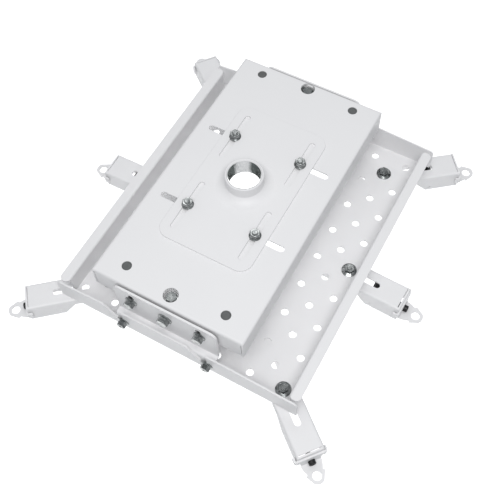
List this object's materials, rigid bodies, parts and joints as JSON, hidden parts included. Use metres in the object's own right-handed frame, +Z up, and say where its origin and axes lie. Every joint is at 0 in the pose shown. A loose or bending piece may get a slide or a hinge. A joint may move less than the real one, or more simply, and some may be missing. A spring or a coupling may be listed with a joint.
{
  "type": "projector ceiling mount",
  "caption": "Ceiling mount for a large projector: threaded pipe collar, sliding plate, box, tilting tray and swivelling slotted arms with ring feet.",
  "frame": {"origin": "on the axis of the pipe collar, at the underside of the ceiling plate", "axes": "+Z up along the collar, +Y along the long side of the box and tray, +X across"},
  "size_m": [0.5656, 0.5646, 0.162],
  "materials": {
    "white_coat": "satin",
    "zinc_steel": "zinc plated",
    "black_steel": "black oxide",
    "bare_steel": "machined"
  },
  "bodies": {
    "plate": {"ceiling_plate": "white_coat", "pipe_collar": "white_coat"},
    "shifter": {"shift_bolts": "zinc_steel", "shift_nuts": "zinc_steel"},
    "box": {"upper_box": "white_coat", "pivot_blocks": "bare_steel", "block_lock_screws": "zinc_steel", "roll_pivot_bolts": "zinc_steel", "roll_lock_bolts": "zinc_steel", "roll_lock_nuts": "zinc_steel", "roll_spacers": "zinc_steel"},
    "cradle": {"near_end_bracket": "white_coat", "far_end_bracket": "white_coat", "bracket_screws": "zinc_steel", "bracket_nuts": "zinc_steel", "tray": "white_coat"},
    "swivel_near_right": {"arm_bolt_near_right": "zinc_steel", "arm_nut_near_right": "zinc_steel"},
    "arm_near_right": {"arm_near_right": "white_coat", "foot_near_right": "white_coat", "foot_screw_near_right": "black_steel"},
    "swivel_mid_right": {"arm_bolt_mid_right": "zinc_steel", "arm_nut_mid_right": "zinc_steel"},
    "arm_mid_right": {"arm_mid_right": "white_coat", "foot_mid_right": "white_coat", "foot_screw_mid_right": "black_steel"},
    "swivel_far_right": {"arm_bolt_far_right": "zinc_steel", "arm_nut_far_right": "zinc_steel"},
    "arm_far_right": {"arm_far_right": "white_coat", "foot_far_right": "white_coat", "foot_screw_far_right": "black_steel"},
    "swivel_near_left": {"arm_bolt_near_left": "zinc_steel", "arm_nut_near_left": "zinc_steel"},
    "arm_near_left": {"arm_near_left": "white_coat", "foot_near_left": "white_coat", "foot_screw_near_left": "black_steel"},
    "swivel_mid_left": {"arm_bolt_mid_left": "zinc_steel", "arm_nut_mid_left": "zinc_steel"},
    "arm_mid_left": {"arm_mid_left": "white_coat", "foot_mid_left": "white_coat", "foot_screw_mid_left": "black_steel"},
    "swivel_far_left": {"arm_bolt_far_left": "zinc_steel", "arm_nut_far_left": "zinc_steel"},
    "arm_far_left": {"arm_far_left": "white_coat", "foot_far_left": "white_coat", "foot_screw_far_left": "black_steel"}
  },
  "joints": [
    {"name": "shift_along", "type": "slide", "parent": "plate", "child": "shifter", "axis": [0, 1, 0], "range_m": [-0.037, 0.037]},
    {"name": "shift_across", "type": "slide", "parent": "shifter", "child": "box", "axis": [1, 0, 0], "range_m": [-0.038, 0.038]},
    {"name": "roll_tilt", "type": "hinge", "parent": "box", "child": "cradle", "pos_m": [0, -0.001, -0.0275], "axis": [0, 1, 0], "range_deg": [-13, 13]},
    {"name": "swing_near_right", "type": "hinge", "parent": "cradle", "child": "swivel_near_right", "pos_m": [0.1693, -0.2044, -0.1005], "axis": [0, 0, 1], "range_deg": [-30, 30]},
    {"name": "reach_near_right", "type": "slide", "parent": "swivel_near_right", "child": "arm_near_right", "axis": [0.7749, -0.632, 0], "range_m": [-0.047, 0.052]},
    {"name": "swing_mid_right", "type": "hinge", "parent": "cradle", "child": "swivel_mid_right", "pos_m": [0.1693, -0.0012, -0.1005], "axis": [0, 0, 1], "range_deg": [-30, 30]},
    {"name": "reach_mid_right", "type": "slide", "parent": "swivel_mid_right", "child": "arm_mid_right", "axis": [0.9993, -0.0366, 0], "range_m": [-0.044, 0.055]},
    {"name": "swing_far_right", "type": "hinge", "parent": "cradle", "child": "swivel_far_right", "pos_m": [0.1439, 0.1766, -0.1005], "axis": [0, 0, 1], "range_deg": [-30, 30]},
    {"name": "reach_far_right", "type": "slide", "parent": "swivel_far_right", "child": "arm_far_right", "axis": [0.7793, 0.6266, 0], "range_m": [-0.072, 0.027]},
    {"name": "swing_near_left", "type": "hinge", "parent": "cradle", "child": "swivel_near_left", "pos_m": [-0.1256, -0.179, -0.1005], "axis": [0, 0, 1], "range_deg": [-30, 30]},
    {"name": "reach_near_left", "type": "slide", "parent": "swivel_near_left", "child": "arm_near_left", "axis": [-0.7627, -0.6468, 0], "range_m": [-0.078, 0.021]},
    {"name": "swing_mid_left", "type": "hinge", "parent": "cradle", "child": "swivel_mid_left", "pos_m": [-0.1002, -0.0012, -0.1005], "axis": [0, 0, 1], "range_deg": [-30, 30]},
    {"name": "reach_mid_left", "type": "slide", "parent": "swivel_mid_left", "child": "arm_mid_left", "axis": [-0.9998, -0.0175, 0], "range_m": [-0.096, 0.0025]},
    {"name": "swing_far_left", "type": "hinge", "parent": "cradle", "child": "swivel_far_left", "pos_m": [-0.1256, 0.1766, -0.1005], "axis": [0, 0, 1], "range_deg": [-30, 30]},
    {"name": "reach_far_left", "type": "slide", "parent": "swivel_far_left", "child": "arm_far_left", "axis": [-0.7826, 0.6225, 0], "range_m": [-0.078, 0.021]}
  ]
}
